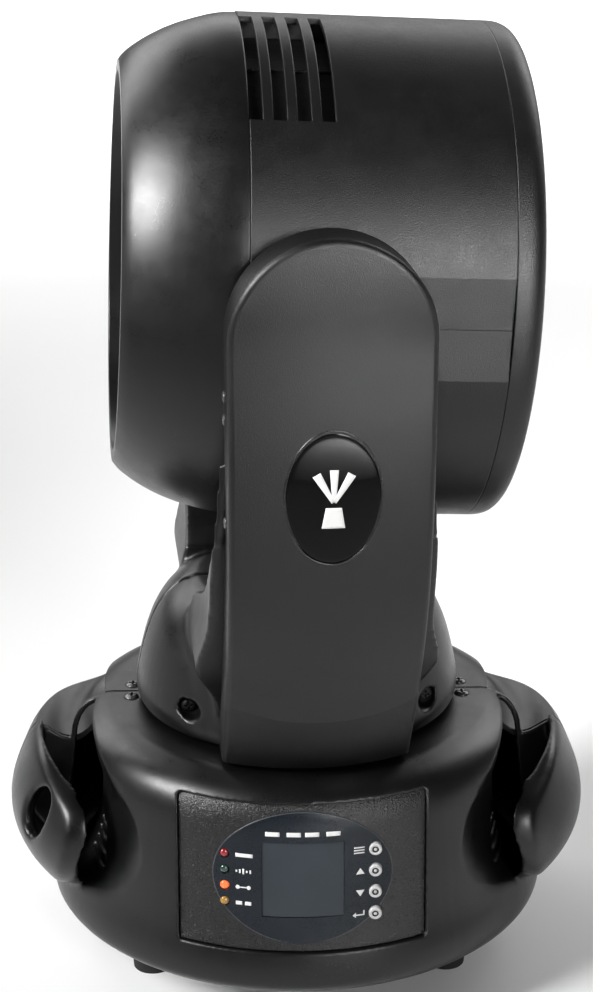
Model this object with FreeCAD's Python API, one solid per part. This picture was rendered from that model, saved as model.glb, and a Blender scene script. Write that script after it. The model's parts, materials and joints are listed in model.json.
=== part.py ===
import FreeCAD, Part
import math
import os

# Moving head wash light. Millimetres, +Z up, origin on the floor under the pan axis.
# The base's control panel faces -Y. The yoke is drawn with its arms on the Y axis and the head
# facing -X, then turned to its rest pose.

# ---- driving dimensions -------------------------------------------------------------------
YOKE_PAN = 4.8            # rest turn of the yoke about +Z, degrees
HEAD_TILT = 2.8           # rest turn of the head about the tilt axis, nose up, degrees
TILT_Z = 343.5            # height of the tilt axis

WALL = 3.0                # base shell wall
COVER_WALL = 2.5          # yoke cover wall
HEAD_WALL = 2.6           # head shell wall
GAP = 0.2                 # gap between neighbouring covers of one body
RUN = 0.03                # radial clearance of a bearing on its shaft

BASE_TOP = 126.3
BASE_PROFILE = [(104, 20), (117, 25), (124, 31), (124.6, 37), (121.6, 50), (117.6, 75),
                (114.4, 100), (112.2, 112), (107.5, 120), (100, 124.8), (90, BASE_TOP)]
BASE_MOUTH_R = 58.0       # hole in the base's top, under the yoke's dome
PLATE_R = 102.5
PLATE_Z = 17.0
PLATE_T = 3.0

EAR_X = 38.7              # side handles: centre of their round walls, from the pan axis
EAR_PROFILE = [(62, 30), (76, 30.5), (86, 38), (97.3, 50), (103.8, 61), (106.3, 73),
               (105.3, 82), (102.8, 90), (98.6, 100), (94.5, 107.5), (90, 111.5), (62, 113)]
EAR_WALL = 7.0
SCOOP_X = 28.3            # finger scoops: centre of their round walls
SCOOP_Y = -17.7
SCOOP_PROFILE = [(152, 39), (144, 45), (139.5, 50), (134, 56), (129.8, 64.5), (126.8, 75),
                 (125.4, 88), (125.8, 101), (128, 110), (129.3, 118), (129.2, 135)]
GROOVE_PROFILE = [(124, 135), (126, 124), (128, 117), (133, 108), (138, 103.5), (144, 101.8),
                  (150, 104), (155.6, 107.5), (162, 109.5), (180, 110.5)]
WEB_T = 3.0               # wall that closes the finger pocket at the seam

PANEL_HALF = 57.2
PANEL_LOW = 48.5
PANEL_HIGH = 117.4
PANEL_SINK = 1.6
PANEL_T = 2.6
OVERLAY_HALF = 41.7
OVERLAY_TALL = 31.4
OVERLAY_Z = 83.5
LCD_SIDE = 38.0
LCD_TALL = 36.0
LCD_Z = 82.5
LED_X = -36.0
LED_TOP_Z = 93.4
LED_PITCH = 7.7
LED_R = 2.3
BUTTON_X = 33.5
BUTTON_TOP_Z = 95.4
BUTTON_PITCH = 10.3
BUTTON_R = 3.0
BUTTON_GAP = 0.35

FOOT_X = 72.8
FOOT_Y = 50.6
FOOT_R = 9.8
FOOT_TOP_R = 11.0

DECK_Z = 100.0
DECK_T = 3.0
SHAFT_R = 15.0
BELT_Z = 85.0
PAN_PULLEY_R = 45.8       # 96 teeth of a 3 mm belt
MOTOR_PULLEY_R = 7.64     # 16 teeth of a 3 mm belt
TILT_PULLEY_R = 38.2      # 80 teeth of a 3 mm belt
PULLEY_W = 8.0
PAN_MOTOR_X = -64.0
PAN_MOTOR_Y = -8.0

DOME_PROFILE = [(78.5, 128.3), (80, 133), (79.4, 142), (75.8, 158), (69, 175), (57.5, 187.5),
                (50, 190.5)]
ARM_HALF = 43.8
ARM_LOW = 129.0
CHIN_LOW_R = 94.0
CHIN_SLOPE = 0.56
# The arm's outer face: height, reach from the pan axis, and how much lower its edges stand.
ARM_FACE = [(392, 141.6, 3.2), (343.5, 142.5, 3.2), (320, 142.8, 3.2), (285, 142, 3.2),
            (248, 138.2, 3.2), (228, 134.6, 3.3), (208, 129.2, 3.9), (191, 122.8, 4.7),
            (174, 115.6, 5.4), (162, 111.9, 5.8), (148, 108.6, 6), (126, 104.5, 6)]
ARM_ROUND = 3.0           # radius of the arm cover's outer edges
ARM_BACK = [(392, 119.4), (350, 119.4), (320, 119.4), (290, 119.4), (275, 119.3), (262, 119),
            (250, 117.6), (240, 115), (220, 108), (200, 99.5), (180, 90), (160, 79), (140, 68),
            (128, 61)]
WEB_SIDE = [(126, 43.9), (145, 44.2), (157, 46.2), (166, 50.6), (174, 54.6), (180, 55.8),
            (187, 54.6), (196, 52.2), (207, 50.9), (230, 50.2), (250, 49.2), (270, 47.6),
            (286, 46.2)]
SWEEP = [(252, 117.2), (241.5, 110), (231.5, 100), (219.9, 86), (212.7, 75), (205, 60),
         (199, 46), (193.5, 30)]
INNER_FACE = 117.2        # arm's inner face, from the pan axis
BADGE_Z = 277.0

DRUM_R = 115.8
SEAM = 33.0               # front cover's seam, ahead of the tilt axis
FRONT_PROFILE = [(33, 115.4), (42, 114.6), (50, 112.6), (60, 109.3), (70, 104.6), (78, 99.6),
                 (83, 95.4), (85.2, 92.6)]
RIM_R = 88.0
LENS_PLATE_L = 70.0
CAP_SEAM = -80.0
CAP_PROFILE = [(-80, 115.8), (-85, 115.7), (-89.5, 114.6), (-92.3, 112.2), (-93.4, 108)]
FLAT_HALF = 22.4
VENT_COUNT = 4
VENT_W = 5.9
VENT_PITCH = 10.3
VENT_FROM = 5.0
VENT_TO = 45.5
AXLE_R = 10.0
FAN_SIDE = 92.0


def vec(x, y, z):
    return FreeCAD.Vector(x, y, z)


Z_AXIS = vec(0, 0, 1)
Y_AXIS = vec(0, 1, 0)
X_AXIS = vec(1, 0, 0)
ORIGIN = vec(0, 0, 0)


# ---- small builders -----------------------------------------------------------------------
def box(x0, x1, y0, y1, z0, z1):
    return Part.makeBox(x1 - x0, y1 - y0, z1 - z0, vec(x0, y0, z0))


def rod(radius, low, high, x=0.0, y=0.0):
    return Part.makeCylinder(radius, high - low, vec(x, y, low), Z_AXIS)


def tube(outer, inner, low, high, x=0.0, y=0.0):
    return rod(outer, low, high, x, y).cut(rod(inner, low - 1, high + 1, x, y))


def rod_y(radius, low, high, x=0.0, z=0.0):
    return Part.makeCylinder(radius, high - low, vec(x, low, z), Y_AXIS)


def rod_x(radius, low, high, y=0.0, z=0.0):
    return Part.makeCylinder(radius, high - low, vec(low, y, z), X_AXIS)


def join(shapes):
    whole = shapes[0]
    for shape in shapes[1:]:
        whole = whole.fuse(shape)
    return whole


def cut(shape, tools):
    for tool in tools:
        shape = shape.cut(tool)
    return shape


def smooth(points):
    curve = Part.BSplineCurve()
    curve.interpolate(points)
    return curve.toShape()


def face_between(curve_points, corners):
    """A flat face bounded by a smooth curve and by straight sides through the corners."""
    edges = [smooth(curve_points)]
    stops = [curve_points[-1]] + corners + [curve_points[0]]
    for start, end in zip(stops[:-1], stops[1:]):
        edges.append(Part.makeLine(start, end))
    return Part.Face(Part.Wire(edges))


def ring_profile(points, corners, centre_x=0.0):
    """A face in the XZ plane from (radius, height) pairs about an axis at centre_x."""
    curve = [vec(centre_x + radius, 0, height) for radius, height in points]
    rest = [vec(centre_x + radius, 0, height) for radius, height in corners]
    return face_between(curve, rest)


def spin(face, centre_x=0.0, centre_y=0.0, start=0.0, angle=360.0):
    solid = face.revolve(vec(centre_x, 0, 0), Z_AXIS, angle)
    if start:
        solid.rotate(vec(centre_x, 0, 0), Z_AXIS, start)
    solid.translate(vec(0, centre_y, 0))
    return solid


def mirror_x(shape):
    return shape.mirror(ORIGIN, X_AXIS)


def mirror_y(shape):
    return shape.mirror(ORIGIN, Y_AXIS)


def shrink(points, amount):
    """Move each (radius, height) point inwards along the outline's own normal."""
    moved = []
    last = len(points) - 1
    for index, (radius, height) in enumerate(points):
        before = points[max(index - 1, 0)]
        after = points[min(index + 1, last)]
        run = after[0] - before[0]
        rise = after[1] - before[1]
        length = math.hypot(run, rise)
        moved.append((radius - amount * rise / length, height + amount * run / length))
    return moved


def belt_loop(big, small, spacing, low, high, inside, thickness):
    """An open belt round two pulleys on the X axis: big at the origin, small at spacing."""
    def filled(extra):
        first = rod(big + extra, low, high)
        second = rod(small + extra, low, high, spacing)
        tilt = math.asin((big - small) / spacing)
        sine = math.sin(tilt)
        cosine = math.cos(tilt)
        corners = []
        for radius, centre, side in ((big, 0, 1), (small, spacing, 1), (small, spacing, -1),
                                     (big, 0, -1)):
            reach = radius + extra
            corners.append(vec(centre + reach * sine, side * reach * cosine, low))
        corners.append(corners[0])
        middle = Part.Face(Part.makePolygon(corners)).extrude(vec(0, 0, high - low))
        return join([first, second, middle])
    return filled(inside + thickness).cut(filled(inside))


def pulley(radius, bore, low, high, flange=1.8):
    """A flanged pulley; its groove's floor is at the radius."""
    lip = 0.8
    body = rod(radius, low, high)
    ends = [rod(radius + flange, low, low + lip), rod(radius + flange, high - lip, high)]
    wheel = join([body] + ends)
    return wheel.cut(rod(bore, low - 1, high + 1)) if bore else wheel


def screw_head(radius, height):
    """A domed head with a cross recess, standing on z = 0."""
    head = rod(radius, 0, height * 0.5)
    dome = Part.makeCone(radius, radius * 0.6, height * 0.5, vec(0, 0, height * 0.5), Z_AXIS)
    slot = radius * 0.16
    reach = radius * 0.6
    cross = box(-reach, reach, -slot, slot, height * 0.4, height + 1)
    other = box(-slot, slot, -reach, reach, height * 0.4, height + 1)
    return head.fuse(dome).cut(cross).cut(other)


def aimed(shape, position, direction):
    """Stand a shape drawn about +Z at a position, facing a direction."""
    copy = shape.copy()
    copy.Placement = FreeCAD.Placement(position, FreeCAD.Rotation(Z_AXIS, direction))
    return copy


# ---- placing and saving -------------------------------------------------------------------
def in_yoke(shape):
    turned = shape.copy()
    turned.rotate(ORIGIN, Z_AXIS, YOKE_PAN)
    return turned


def in_head(shape):
    turned = shape.copy()
    turned.rotate(ORIGIN, Y_AXIS, HEAD_TILT)
    turned.translate(vec(0, 0, TILT_Z))
    return in_yoke(turned)


def save(node, shape):
    solids = shape.Solids
    whole = solids[0] if len(solids) == 1 else Part.makeCompound(solids)
    if not solids or not shape.isValid():
        print("CHECK", node, len(solids), shape.isValid())
    print(node, len(solids), round(whole.Volume))
    whole.exportStep("parts/" + node + ".step")


# ---- base: shells -------------------------------------------------------------------------
def base_solid(inset, start):
    """Half of the base's body, filled to the pan axis."""
    points = shrink(BASE_PROFILE, inset) if inset else BASE_PROFILE
    low = points[0][1]
    high = points[-1][1]
    if inset:
        low = BASE_PROFILE[0][1] - 5
        points = [(points[0][0] - 2, low)] + points[1:]
    face = ring_profile(points, [(0, high), (0, low)])
    return spin(face, start=start, angle=180)


def ear_solid(inset, start):
    """The round bulge of the right handle, before it is hollowed."""
    points = shrink(EAR_PROFILE, inset) if inset else EAR_PROFILE
    low = points[0][1]
    high = points[-1][1]
    face = ring_profile(points, [(20, high), (20, low)], EAR_X)
    bulge = spin(face, EAR_X, start=start, angle=180)
    return bulge.common(box(60, 200, -200, 200, 0, 140))


def scoop_ring(inset):
    """What the right finger scoop takes from the body, in front of the seam."""
    points = [(radius - inset, height - inset * 0.5) for radius, height in SCOOP_PROFILE]
    low = points[0][1]
    high = points[-1][1]
    face = ring_profile(points, [(215, high), (215, low)], -SCOOP_X)
    ring = spin(face, -SCOOP_X, SCOOP_Y, start=-90, angle=180)
    return ring.common(box(0, 250, -200, -WEB_T, 20, 150))


def groove_ring(drop):
    """What the valley between the body and the right handle takes, behind the seam."""
    points = [(radius, height - drop) for radius, height in GROOVE_PROFILE]
    face = ring_profile(points, [(215, 110), (215, 145), (124, 145)], -SCOOP_X)
    return spin(face, -SCOOP_X, -SCOOP_Y, start=-90, angle=180)


def both_sides(shape):
    return [shape, mirror_x(shape)]


def screw_bores(start):
    """Holes for the top screws, through the base's top."""
    sign = 1 if start == 0 else -1
    return [rod(2.0, BASE_TOP - 12, BASE_TOP + 2, side * 82.5, sign * 7) for side in (-1, 1)]


def base_rear_shell():
    solid = join([base_solid(0, 0)] + both_sides(ear_solid(0, 0)))
    solid = cut(solid, both_sides(groove_ring(0)))
    hollow = join([base_solid(WALL, 0)] + both_sides(ear_solid(WALL + 0.5, 0)))
    hollow = cut(hollow, both_sides(groove_ring(WALL + 0.5)))
    hollow = hollow.common(box(-200, 200, -1, 200, 0, BASE_TOP - WALL))
    shell = solid.cut(hollow)
    mouth = rod(BASE_MOUTH_R, 100, 140)
    window = box(-50, 50, 90, 130, 50, 110)
    return cut(shell, [mouth, window] + screw_bores(0))


def handle_wall():
    """The right handle's free wall in front of the seam, with its rounded nose."""
    wall = ear_solid(0, 180).cut(ear_solid(EAR_WALL, 180))
    outline = [vec(0, 0, 113), vec(0, -19, 112), vec(0, -34, 109.5), vec(0, -56.5, 101.5),
               vec(0, -70.5, 94), vec(0, -76, 82), vec(0, -72.5, 66), vec(0, -60.5, 52),
               vec(0, -42, 45), vec(0, 0, 42)]
    side = face_between(outline, []).extrude(vec(200, 0, 0))
    side.translate(vec(85, 0, 0))
    pieces = wall.common(side).Solids
    return max(pieces, key=lambda piece: piece.Volume)


def handle_web():
    """The wall that closes the right finger pocket at the seam."""
    whole = join([base_solid(0, 180), ear_solid(0, 180)])
    ring = groove_ring(0)
    ring.translate(vec(0, -WEB_T, 0))
    web = whole.cut(ring).common(box(60, 200, -WEB_T, 0, 20, 140))
    return web.cut(base_solid(WALL, 180))


def handle_hole():
    """The oval hole through the left handle's nose."""
    oval = Part.Ellipse(ORIGIN, 14.5, 9.5).toShape()
    face = Part.Face(Part.Wire([oval]))
    prism = face.extrude(vec(0, 0, 60))
    prism.rotate(ORIGIN, Z_AXIS, 12)
    return aimed(prism, vec(-101.5, -35.5, 85), vec(-0.86, -0.5, 0))


def scoop_vents():
    slots = []
    for step in range(4):
        low = 60 + step * 5.0
        ring = tube(140, 100, low, low + 2.4)
        slots.append(ring.common(box(93, 125, -62, -36, 50, 90)))
    return [part for slot in slots for part in both_sides(slot)]


def panel_band(out, into, half, low, high):
    """A piece of the base's skin: between two depths, a half width and two heights."""
    outer = ring_profile(shrink(BASE_PROFILE, out), [(60, BASE_TOP), (60, 20)])
    inner = ring_profile(shrink(BASE_PROFILE, into), [(50, BASE_TOP + 5), (50, 15)])
    band = spin(outer, start=180, angle=180).cut(spin(inner, start=180, angle=180))
    return band.common(box(-half, half, -200, -60, low, high))


def base_front_shell():
    solid = cut(base_solid(0, 180), both_sides(scoop_ring(0)))
    hollow = cut(base_solid(WALL, 180), both_sides(scoop_ring(WALL)))
    hollow = hollow.common(box(-200, 200, -200, 1, 0, BASE_TOP - WALL))
    shell = cut(solid.cut(hollow), scoop_vents())
    parts = both_sides(handle_wall()) + both_sides(handle_web())
    shell = join([shell] + parts)
    mouth = rod(BASE_MOUTH_R, 100, 140)
    window = panel_band(-4, 12, PANEL_HALF + 0.3, PANEL_LOW - 0.3, PANEL_HIGH + 0.3)
    shell = cut(shell, [mouth, window, handle_hole()] + screw_bores(180))
    lip = box(-26, 26, -108, -98, 24.5, 30).cut(rod(100.5, 20, 40))
    return shell.fuse(lip)


# ---- base: control panel ------------------------------------------------------------------
def y_on_panel(x, z, sink):
    """Where the panel's face stands at a place, sunk below the base's skin."""
    heights = [point[1] for point in BASE_PROFILE]
    radii = [point[0] for point in BASE_PROFILE]
    index = max(i for i in range(len(heights) - 1) if heights[i] <= z)
    share = (z - heights[index]) / (heights[index + 1] - heights[index])
    radius = radii[index] + share * (radii[index + 1] - radii[index]) - sink
    return -math.sqrt(radius * radius - x * x)


def button_heights():
    return [BUTTON_TOP_Z - BUTTON_PITCH * step for step in range(4)]


def led_heights():
    return [LED_TOP_Z - LED_PITCH * step for step in range(4)]


def panel_holes():
    holes = [rod_y(BUTTON_R + BUTTON_GAP, -140, -80, BUTTON_X, z) for z in button_heights()]
    holes += [rod_y(LED_R, -140, -80, LED_X, z) for z in led_heights()]
    half = LCD_SIDE / 2
    tall = LCD_TALL / 2
    holes.append(box(-half, half, -140, -80, LCD_Z - tall, LCD_Z + tall))
    return holes


def control_panel_plate():
    plate = panel_band(PANEL_SINK, PANEL_SINK + PANEL_T, PANEL_HALF, PANEL_LOW, PANEL_HIGH)
    return cut(plate, panel_holes())


def panel_overlay():
    skin = panel_band(PANEL_SINK - 0.5, PANEL_SINK, PANEL_HALF, PANEL_LOW, PANEL_HIGH)
    oval = Part.Face(Part.Wire([Part.Ellipse(ORIGIN, OVERLAY_HALF, OVERLAY_TALL).toShape()]))
    prism = oval.extrude(vec(0, 0, 60))
    prism.rotate(ORIGIN, X_AXIS, 90)
    prism.translate(vec(0, -80, OVERLAY_Z))
    return cut(skin.common(prism), panel_holes())


def lcd_window():
    half = LCD_SIDE / 2 - 0.1
    tall = LCD_TALL / 2 - 0.1
    return panel_band(PANEL_SINK, PANEL_SINK + 4, half, LCD_Z - tall, LCD_Z + tall)


def status_leds():
    leds = []
    for z in led_heights():
        tip = y_on_panel(LED_X, z, PANEL_SINK) - 0.9
        lamp = rod_y(LED_R - 0.15, tip, -99.0, LED_X, z)
        leds.append(lamp)
    return Part.makeCompound(leds)


def button(z):
    tip = y_on_panel(BUTTON_X, z, PANEL_SINK) - 2.2
    cap = rod_y(BUTTON_R, tip, -102.5, BUTTON_X, z)
    rim = rod_y(BUTTON_R - 0.9, tip - 1, tip + 0.5, BUTTON_X, z)
    return cap.cut(rim)


def display_board():
    board = box(-46, 46, -97.0, -95.4, 54, 106)
    posts = [rod_y(3, -95.4, -91, x, z) for x in (-41, 41) for z in (59, 101)]
    screen = box(-20, 20, -104, -97, LCD_Z - 20, LCD_Z + 20)
    switches = [box(BUTTON_X - 3, BUTTON_X + 3, -100.6, -97, z - 3, z + 3)
                for z in button_heights()]
    return join([board, screen] + posts + switches)


# ---- base: floor, feet and rear connectors ------------------------------------------------
def base_bottom_plate():
    plate = rod(PLATE_R, PLATE_Z, PLATE_Z + PLATE_T)
    rim = tube(PLATE_R - 3, PLATE_R - 6, PLATE_Z, PLATE_Z + 8)
    slots = []
    for side_x in (-1, 1):
        for side_y in (-1, 1):
            slots.append(rod(8.0, 10, 30, side_x * 53, side_y * 25))
            slots.append(rod(2.1, 10, 30, side_x * FOOT_X, side_y * FOOT_Y))
    bolts = [rod(4.25, 10, 30, 0, side * 70) for side in (-1, 1)]
    vents = []
    for step in range(7):
        x = -18 + step * 6
        vents.append(box(x - 1.25, x + 1.25, -20, 20, 10, 30))
    return cut(plate.fuse(rim), slots + bolts + vents)


def rubber_feet():
    feet = []
    for x in (-FOOT_X, FOOT_X):
        for y in (-FOOT_Y, FOOT_Y):
            foot = Part.makeCone(FOOT_R, FOOT_TOP_R, PLATE_Z, vec(x, y, 0), Z_AXIS)
            recess = rod(4, -1, 4, x, y)
            screw = rod(2.0, 4, PLATE_Z + 6, x, y)
            feet.append(foot.cut(recess).fuse(screw))
    return Part.makeCompound(feet)


def connector_panel():
    plate = box(-49.7, 49.7, 101.0, 103.0, 50.3, 109.7)
    inlet = box(-41, -13.5, 90, 120, 60, 82)
    fuse = rod_y(6.2, 90, 120, -27, 97)
    sockets = [rod_y(11.5, 90, 120, x, z) for x in (8, 36) for z in (68, 96)]
    return cut(plate, [inlet, fuse] + sockets)


def power_inlet():
    flange = box(-45, -9.5, 103.0, 105.5, 57, 85)
    shroud = box(-40.8, -13.7, 78, 103.0, 60.2, 81.8)
    well = box(-38.2, -16.3, 88, 110, 62.8, 79.2)
    pins = [box(x - 1, x + 1, 88, 102, 69, 73) for x in (-34, -27.25, -20.5)]
    return join([flange.fuse(shroud).cut(well)] + pins)


def fuse_holder():
    barrel = rod_y(6.0, 78, 103.0, -27, 97)
    cap = rod_y(7.5, 103.0, 109, -27, 97)
    slot = box(-33, -21, 107.5, 110, 96.2, 97.8)
    return barrel.fuse(cap).cut(slot)


def data_socket(x, z, pins_out):
    flange = box(x - 13, x + 13, 103.0, 105.5, z - 13, z + 13)
    barrel = rod_y(11.3, 80, 103.0, x, z)
    well = rod_y(9.0, 90, 110, x, z)
    shell = flange.fuse(barrel).cut(well)
    angles = (90, 210, 330)
    if pins_out:
        pins = [rod_y(1.3, 89, 101, x + 4.8 * math.cos(math.radians(a)),
                      z + 4.8 * math.sin(math.radians(a))) for a in angles]
        return join([shell] + pins)
    core = rod_y(8.0, 89, 104.5, x, z)
    holes = [rod_y(1.4, 92, 110, x + 4.8 * math.cos(math.radians(a)),
                   z + 4.8 * math.sin(math.radians(a))) for a in angles]
    return cut(shell.fuse(core), holes)


def data_sockets(pins_out):
    x = 8 if pins_out else 36
    return Part.makeCompound([data_socket(x, z, pins_out) for z in (68, 96)])


# ---- base: what it holds ------------------------------------------------------------------
def base_deck():
    plate = rod(92, DECK_Z, DECK_Z + DECK_T)
    seat = tube(26, 21, DECK_Z + DECK_T, DECK_Z + DECK_T + 12)
    hole = rod(21, DECK_Z - 1, DECK_Z + DECK_T + 1)
    posts = [rod(5, PLATE_Z + PLATE_T, DECK_Z, x, y)
             for x, y in ((-80, 30), (80, 30), (80, -30), (-46, -72), (46, -72))]
    rear = box(-60, 60, 68, 110, DECK_Z - 1, DECK_Z + DECK_T + 1)
    front = box(-60, 60, -110, -84, DECK_Z - 1, DECK_Z + DECK_T + 1)
    return cut(join([plate, seat] + posts), [hole, rear, front])


def pan_bearing():
    low = DECK_Z + DECK_T + 1
    ring = tube(21, SHAFT_R + RUN, low, low + 9)
    grooves = [tube(19.4, 17.2, low - 1, low + 0.8), tube(19.4, 17.2, low + 8.2, low + 10)]
    return cut(ring, grooves)


def stepper(width, length, low):
    """A square motor standing on z = low, with chamfered corners."""
    half = width / 2
    case = box(-half, half, -half, half, low, low + length)
    across = width * 0.64
    trim = box(-across, across, -across, across, low - 1, low + length + 1)
    trim.rotate(ORIGIN, Z_AXIS, 45)
    return case.common(trim)


def pan_motor():
    motor = stepper(42, 34, 36)
    motor = motor.cut(rod(3.2, 68, 72))
    motor.translate(vec(PAN_MOTOR_X, PAN_MOTOR_Y, 0))
    return motor


def pan_motor_mount():
    plate = box(-23, 23, -23, 23, 70, 73)
    hole = rod(11, 69, 74)
    legs = [rod(2.5, 73, DECK_Z, x, y) for x, y in ((-20, -20), (-20, 20), (4, -20), (4, 20))]
    mount = join([plate.cut(hole)] + legs)
    mount.translate(vec(PAN_MOTOR_X, PAN_MOTOR_Y, 0))
    return mount


def pan_motor_pulley():
    wheel = pulley(MOTOR_PULLEY_R, 0, BELT_Z, BELT_Z + PULLEY_W)
    shaft = rod(2.5, 69, BELT_Z)
    wheel = wheel.fuse(shaft)
    wheel.translate(vec(PAN_MOTOR_X, PAN_MOTOR_Y, 0))
    return wheel


def pan_belt():
    spacing = math.hypot(PAN_MOTOR_X, PAN_MOTOR_Y)
    loop = belt_loop(PAN_PULLEY_R, MOTOR_PULLEY_R, spacing, BELT_Z + 1.3, BELT_Z + PULLEY_W - 1.3,
                     0.35, 1.2)
    loop.rotate(ORIGIN, Z_AXIS, math.degrees(math.atan2(PAN_MOTOR_Y, PAN_MOTOR_X)))
    return loop


def power_supply():
    case = box(-34, 72, 26, 63, 24, 58)
    slots = [box(x, x + 3, 30, 59, 56.5, 60) for x in range(-24, 66, 8)]
    feet = [rod(4, PLATE_Z + PLATE_T, 24, x, y) for x in (-28, 66) for y in (32, 57)]
    return join([cut(case, slots)] + feet)


def main_board():
    board = box(-38, 38, -66, -16, 30, 31.6)
    posts = [rod(3, PLATE_Z + PLATE_T, 30, x, y) for x in (-33, 33) for y in (-61, -24)]
    chips = [box(-12, 12, -50, -30, 31.6, 34), box(18, 32, -58, -30, 31.6, 44),
             rod(5, 31.6, 46, -26, -52), rod(5, 31.6, 46, -26, -38)]
    return join([board] + posts + chips)


def base_screws():
    screws = []
    head = screw_head(3.5, 2.2)
    for x in (-82.5, 82.5):
        for y in (-7, 7):
            screws.append(join([rod(1.95, BASE_TOP - 12, BASE_TOP, x, y),
                                aimed(head, vec(x, y, BASE_TOP - 0.9), Z_AXIS)]))
    return screws


def base_screw_seats():
    return [rod(3.6, BASE_TOP - 0.9, BASE_TOP + 3, x, y) for x in (-82.5, 82.5) for y in (-7, 7)]


# ---- yoke ---------------------------------------------------------------------------------
def dome_half(inset):
    """The near half of the yoke's dome, filled to the pan axis."""
    points = shrink(DOME_PROFILE, inset) if inset else DOME_PROFILE
    low = points[0][1]
    high = points[-1][1]
    if inset:
        low = low - 6
        points = [(points[0][0], low)] + points[1:]
    return spin(ring_profile(points, [(0, high), (0, low)]), start=180, angle=180)


def side_curve(pairs, extra):
    return [vec(0, -(pair[1] + extra), pair[0]) for pair in pairs]


def arm_blank(half, top_r, low):
    """The arm's outline seen from outside: straight sides and a round top."""
    sides = box(-half, half, -170, -20, low, TILT_Z)
    top = rod_y(top_r, -170, -20, 0, TILT_Z)
    return sides.fuse(top)


def crowned_block(out):
    """Everything behind the near arm's crowned face, moved outwards by a distance."""
    rows = []
    for height, reach, crown in ARM_FACE:
        row = []
        for step in range(-4, 5):
            x = step * 15.0
            drop = crown * (x / ARM_HALF) ** 2
            row.append(vec(x, -(reach + out - drop), height))
        rows.append(row)
    skin = Part.BSplineSurface()
    skin.interpolate(rows)
    return skin.toShape().extrude(vec(0, 90, 0))


def arm_outer(inset):
    """The near arm's outer cover as a filled shape."""
    face = side_curve(ARM_FACE, 10)
    back = side_curve(ARM_BACK, -2.0 if inset else 0.0)
    back.reverse()
    edges = [smooth(face), Part.makeLine(face[-1], back[0]), smooth(back),
             Part.makeLine(back[-1], face[0])]
    slab = Part.Face(Part.Wire(edges)).extrude(vec(110, 0, 0))
    slab.translate(vec(-55, 0, 0))
    slab = slab.common(crowned_block(-inset))
    half = ARM_HALF - inset
    shape = slab.common(arm_blank(half, half, ARM_LOW if not inset else ARM_LOW + inset))
    low_r = CHIN_LOW_R - inset
    high_r = low_r + CHIN_SLOPE * 270
    chin = Part.makeCone(low_r, high_r, 270, vec(0, 0, ARM_LOW), Z_AXIS)
    return shape.common(chin)


def front_edges(arm):
    """The edges round the arm's face and its chin."""
    front = []
    for face in arm.Faces:
        middle = face.CenterOfMass
        limit = -95 if middle.z < 200 else -120
        if face.BoundBox.XLength > 60 and middle.y < limit:
            front.append(face)
    edges = [edge for face in front for edge in face.Edges]
    shared = [edge for edge in edges if sum(edge.isSame(other) for other in edges) > 1]
    chosen = []
    for edge in edges:
        if edge in shared or any(edge.isSame(other) for other in shared + chosen):
            continue
        if edge.BoundBox.ZMax < ARM_LOW + 1:
            continue
        chosen.append(edge)
    return chosen


def arm_cover():
    solid = arm_outer(0)
    rounded = solid.makeFillet(ARM_ROUND, front_edges(solid))
    shell = rounded.cut(arm_outer(COVER_WALL))
    dome = spin(ring_profile(shrink(DOME_PROFILE, -0.25), [(0, 190.75), (0, 128)]))
    return shell.cut(dome)


def web_outline(inset):
    """The inner cover's outline seen from outside, below the head: wider towards the dome."""
    right = [vec(half - inset, 0, height) for height, half in WEB_SIDE]
    left = [vec(-point.x, 0, point.z) for point in reversed(right)]
    edges = [smooth(right), Part.makeLine(right[-1], left[0]), smooth(left),
             Part.makeLine(left[-1], right[0])]
    return Part.Face(Part.Wire(edges)).extrude(vec(0, -160, 0))


def gusset(inset, back_shift):
    """The near arm's inner cover below the head, as a filled shape."""
    inner = side_curve(SWEEP, inset)
    back = side_curve(ARM_BACK, back_shift)
    back = [point for point in back if point.z < 265]
    back.reverse()
    low_back = vec(0, back[0].y, 128.3)
    corners = [vec(0, -30, 150), vec(0, -58, 131), low_back]
    if inset:
        inner = [vec(0, point.y, point.z - inset) for point in side_curve(SWEEP, 0)]
    edges = [smooth(inner)]
    stops = [inner[-1]] + corners
    for start, end in zip(stops[:-1], stops[1:]):
        edges.append(Part.makeLine(start, end))
    if (low_back - back[0]).Length > 0.01:
        edges.append(Part.makeLine(low_back, back[0]))
    edges.append(smooth(back))
    edges.append(Part.makeLine(back[-1], inner[0]))
    slab = Part.Face(Part.Wire(edges)).extrude(vec(120, 0, 0))
    slab.translate(vec(-60, 0, 0))
    return slab.common(web_outline(inset))


def arm_plate():
    """The near arm's flat inner face beside the head."""
    half = ARM_HALF - 0.8
    back = -(INNER_FACE + 1.5)
    plate = box(-half, half, back, -INNER_FACE, 250, TILT_Z)
    plate = plate.fuse(rod_y(half, back, -INNER_FACE, 0, TILT_Z))
    ears = box(-60, 60, back, -INNER_FACE, 250, WEB_SIDE[-1][0]).common(web_outline(0))
    plate = plate.fuse(ears)
    outside = arm_outer(0)
    outside.translate(vec(0, GAP, 0))
    return plate.cut(outside)


def dome_screw_holes():
    return [rod_y(5.0, -80, -46, x, 142.5) for x in (-57, 57)]


def dome_inner_cover():
    solid = join([dome_half(0), gusset(0, -GAP)])
    middle = gusset(COVER_WALL, 3.0).common(box(-40, 40, -200, 0, 100, 300))
    hollow = join([dome_half(COVER_WALL), gusset(COVER_WALL, -GAP - COVER_WALL), middle])
    shell = solid.cut(hollow)
    shell = shell.fuse(arm_plate())
    return cut(shell, [rod_y(11.5, -130, -100, 0, TILT_Z)])


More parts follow.
